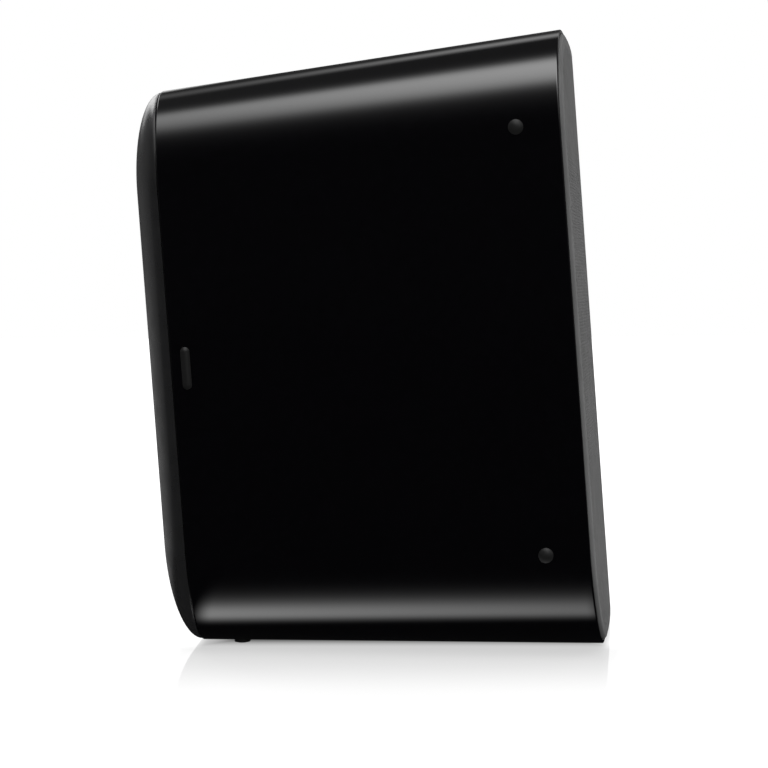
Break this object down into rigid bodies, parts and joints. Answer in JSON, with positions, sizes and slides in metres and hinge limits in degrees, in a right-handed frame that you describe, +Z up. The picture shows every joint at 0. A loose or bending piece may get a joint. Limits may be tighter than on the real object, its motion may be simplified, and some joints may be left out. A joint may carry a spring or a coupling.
{
  "type": "wireless speaker",
  "caption": "Tabletop wireless speaker that lies on its long side: tapered gloss shell, bulged grille in front, domed cover with connector bay behind.",
  "frame": {"origin": "on the supporting surface, under the centre of the whole speaker's box", "axes": "+X to the right as seen from the front, +Y from the grille to the rear, +Z up"},
  "size_m": [0.3648, 0.165, 0.2045],
  "materials": {
    "shell_gloss": "high-gloss black",
    "grille_metal": "satin graphite coating",
    "cover_satin": "fine satin texture",
    "panel_black": "matt black",
    "socket_black": "matt black",
    "plated_brass": "nickel plated",
    "button_grey": "satin",
    "plunger_white": "plain",
    "baffle_black": "moulded, lightly grained",
    "foam_seal": "closed-cell foam",
    "board_green": "solder mask",
    "bare_aluminium": "brushed",
    "antenna_copper": "bare copper strip",
    "tin_shield": "tinned shield",
    "transformer_tape": "yellow tape over a dark core",
    "capacitor_sleeve": "shrink sleeve",
    "basket_steel": "black powder coat",
    "surround_rubber": "moulded rubber",
    "cone_paper": "pressed paper",
    "coil_copper": "wound copper",
    "spider_cloth": "treated cloth",
    "ferrite": "ground ferrite",
    "plated_steel": "zinc plated",
    "tweeter_plastic": "moulded",
    "dome_silk": "coated silk",
    "black_screw": "black oxide",
    "pad_rubber": "smooth"
  },
  "bodies": {
    "cabinet": {"shell": "shell_gloss", "grille": "grille_metal", "rear_cover": "cover_satin", "connector_panel": "panel_black", "power_inlet": "socket_black", "network_socket": "socket_black", "button_switch": "socket_black", "audio_jack": "socket_black", "inlet_pins": "plated_brass", "front_baffle": "baffle_black", "front_seal": "foam_seal", "rear_seal": "foam_seal", "main_board": "board_green", "power_board": "board_green", "touch_board": "board_green", "heat_sink": "bare_aluminium", "antennas": "antenna_copper", "radio_module": "tin_shield", "power_transformer": "transformer_tape", "smoothing_capacitors": "capacitor_sleeve", "woofer_basket": "basket_steel", "woofer_surround": "surround_rubber", "woofer_spider": "spider_cloth", "woofer_magnet": "ferrite", "woofer_yoke": "plated_steel", "tweeter_plates": "tweeter_plastic", "tweeter_motors": "ferrite", "baffle_screws": "black_screw", "cover_screws": "black_screw", "driver_screws": "black_screw", "board_screws": "plated_steel", "left_end_pads": "pad_rubber", "right_end_pads": "pad_rubber", "bottom_pads": "pad_rubber"},
    "woofer_diaphragm": {"woofer_cone": "cone_paper", "dust_cap": "cone_paper", "voice_coil": "coil_copper"},
    "left_tweeter": {"left_tweeter_dome": "dome_silk"},
    "right_tweeter": {"right_tweeter_dome": "dome_silk"},
    "join_key": {"join_button": "button_grey", "switch_plunger": "plunger_white"}
  },
  "joints": [
    {"name": "woofer_travel", "type": "slide", "parent": "cabinet", "child": "woofer_diaphragm", "axis": [0, 0.9976, -0.0698], "range_m": [-0.004, 0.004], "stiffness_N_per_m": 900, "deforming": ["woofer_surround", "woofer_spider"]},
    {"name": "left_tweeter_travel", "type": "slide", "parent": "cabinet", "child": "left_tweeter", "axis": [0, 0.9976, -0.0698], "range_m": [-0.0003, 0.0003], "stiffness_N_per_m": 1500},
    {"name": "right_tweeter_travel", "type": "slide", "parent": "cabinet", "child": "right_tweeter", "axis": [0, 0.9976, -0.0698], "range_m": [-0.0003, 0.0003], "stiffness_N_per_m": 1500},
    {"name": "join_button_press", "type": "slide", "parent": "cabinet", "child": "join_key", "axis": [0, -0.9976, 0.0698], "range_m": [0, 0.0008], "stiffness_N_per_m": 1200}
  ]
}
